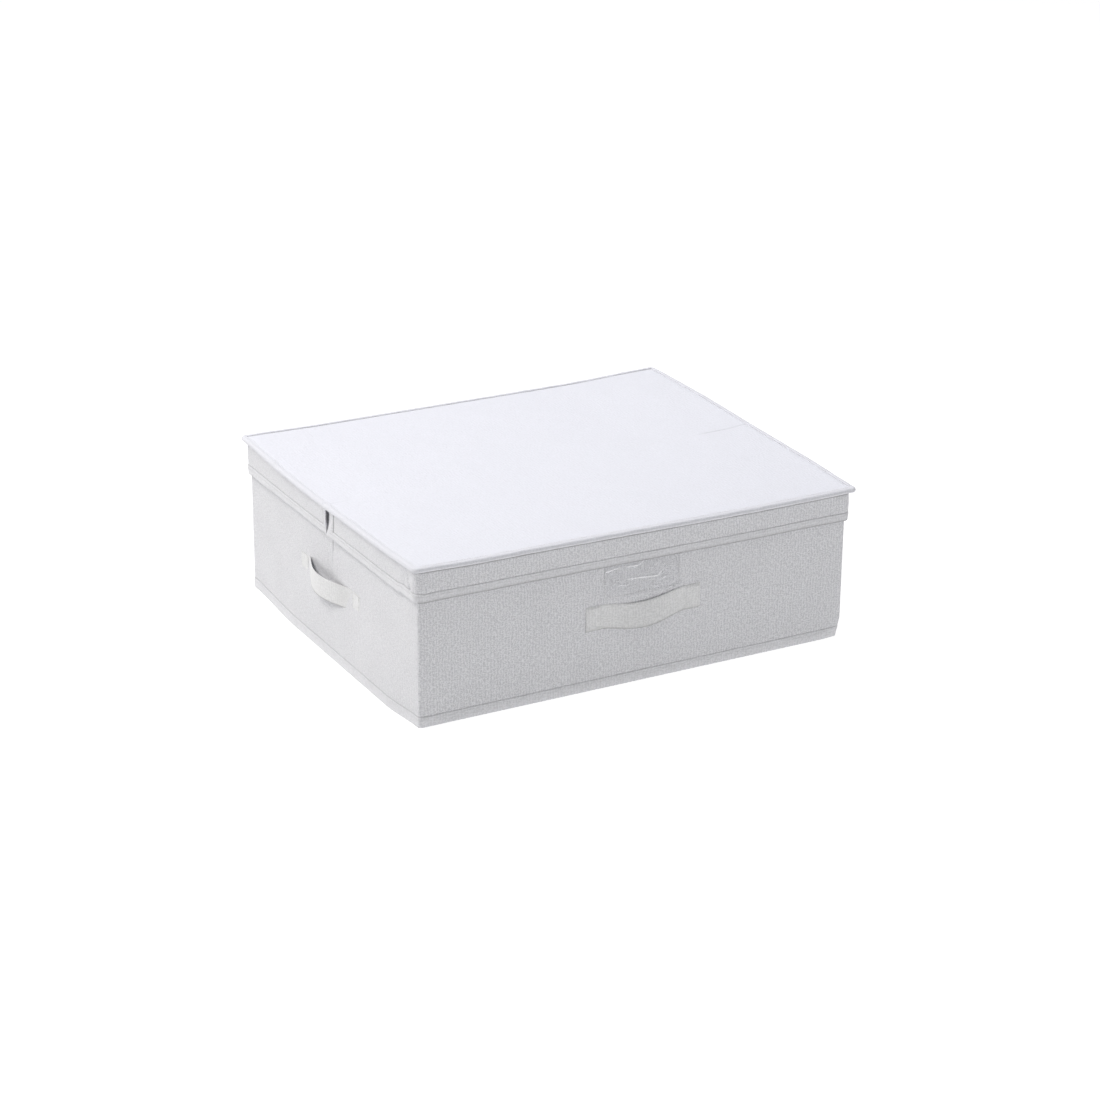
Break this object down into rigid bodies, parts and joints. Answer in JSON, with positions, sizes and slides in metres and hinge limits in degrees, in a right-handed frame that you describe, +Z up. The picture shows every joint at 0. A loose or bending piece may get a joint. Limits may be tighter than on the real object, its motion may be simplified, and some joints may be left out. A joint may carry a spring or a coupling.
{
  "type": "under bed storage box",
  "caption": "Flat cloth-covered board storage box with a folding lift-off lid, creased short walls that fold flat, strap handles and a clear label pocket.",
  "frame": {"origin": "on the ground, under the middle of the box", "axes": "+X along the long side to the right, -Y towards the front with the label pocket and handle, +Z up"},
  "size_m": [0.613, 0.5115, 0.2],
  "materials": {
    "linen_cloth": "linen-look cloth with a slub weave, light grey white",
    "binding_tape": "the same cloth folded into a stitched binding",
    "lining": "thin non-woven lining",
    "grey_board": "raw grey board",
    "strap_cloth": "folded and stitched cloth strap",
    "clear_film": "clear soft film, crinkled"
  },
  "bodies": {
    "box": {"back_cloth": "linen_cloth", "back_board": "grey_board", "back_lining": "lining", "back_top_hem": "binding_tape", "back_base_tape": "binding_tape", "floor_cloth": "linen_cloth"},
    "left_rear_wall": {"left_rear_cloth": "linen_cloth", "left_rear_board": "grey_board", "left_rear_lining": "lining", "left_rear_top_hem": "binding_tape", "left_rear_base_tape": "binding_tape", "left_handle": "strap_cloth"},
    "left_front_wall": {"left_front_cloth": "linen_cloth", "left_front_board": "grey_board", "left_front_lining": "lining", "left_front_top_hem": "binding_tape", "left_front_base_tape": "binding_tape"},
    "front_wall": {"front_cloth": "linen_cloth", "front_board": "grey_board", "front_lining": "lining", "front_top_hem": "binding_tape", "front_base_tape": "binding_tape", "front_handle": "strap_cloth", "label_pocket": "clear_film"},
    "right_rear_wall": {"right_rear_cloth": "linen_cloth", "right_rear_board": "grey_board", "right_rear_lining": "lining", "right_rear_top_hem": "binding_tape", "right_rear_base_tape": "binding_tape", "right_handle": "strap_cloth"},
    "right_front_wall": {"right_front_cloth": "linen_cloth", "right_front_board": "grey_board", "right_front_lining": "lining", "right_front_top_hem": "binding_tape", "right_front_base_tape": "binding_tape"},
    "lid_rear": {"lid_rear_cloth": "linen_cloth", "lid_rear_board": "grey_board", "lid_rear_lining": "lining", "lid_rear_rim": "binding_tape", "lid_rear_skirt_long": "linen_cloth", "lid_rear_skirt_left": "linen_cloth", "lid_rear_skirt_right": "linen_cloth", "lid_rear_hem": "binding_tape", "lid_rear_slit_tape_left": "binding_tape", "lid_rear_slit_tape_right": "binding_tape"},
    "lid_front": {"lid_front_cloth": "linen_cloth", "lid_front_board": "grey_board", "lid_front_lining": "lining", "lid_front_rim": "binding_tape", "lid_front_skirt_long": "linen_cloth", "lid_front_skirt_left": "linen_cloth", "lid_front_skirt_right": "linen_cloth", "lid_front_hem": "binding_tape", "lid_front_slit_tape_left": "binding_tape", "lid_front_slit_tape_right": "binding_tape"}
  },
  "joints": [
    {"name": "lid_lift", "type": "slide", "parent": "box", "child": "lid_rear", "axis": [0, 0, 1], "range_m": [0, 0.25]},
    {"name": "lid_fold", "type": "hinge", "parent": "lid_rear", "child": "lid_front", "pos_m": [0, 0, 0.2], "axis": [-1, 0, 0], "range_deg": [0, 178]},
    {"name": "fold_walls", "type": "hinge", "parent": "box", "child": "left_rear_wall", "pos_m": [-0.285, 0.235, 0.1], "axis": [0, 0, 1], "range_deg": [0, 87], "deforming": ["floor_cloth"]},
    {"name": "left_crease", "type": "hinge", "parent": "left_rear_wall", "child": "left_front_wall", "pos_m": [-0.291, 0, 0.1], "axis": [0, 0, 1], "range_deg": [-174, 0], "deforming": ["left_handle"]},
    {"name": "front_left_corner", "type": "hinge", "parent": "left_front_wall", "child": "front_wall", "pos_m": [-0.285, -0.235, 0.1], "axis": [0, 0, 1], "range_deg": [0, 87]},
    {"name": "rear_right_corner", "type": "hinge", "parent": "box", "child": "right_rear_wall", "pos_m": [0.285, 0.235, 0.1], "axis": [0, 0, 1], "range_deg": [-87, 0]},
    {"name": "right_crease", "type": "hinge", "parent": "right_rear_wall", "child": "right_front_wall", "pos_m": [0.291, 0, 0.1], "axis": [0, 0, 1], "range_deg": [0, 174], "deforming": ["right_handle"]}
  ],
  "couplings": [
    {"joint": "left_crease", "follows": "fold_walls", "ratio": -2},
    {"joint": "front_left_corner", "follows": "fold_walls", "ratio": 1},
    {"joint": "rear_right_corner", "follows": "fold_walls", "ratio": -1},
    {"joint": "right_crease", "follows": "fold_walls", "ratio": 2}
  ]
}
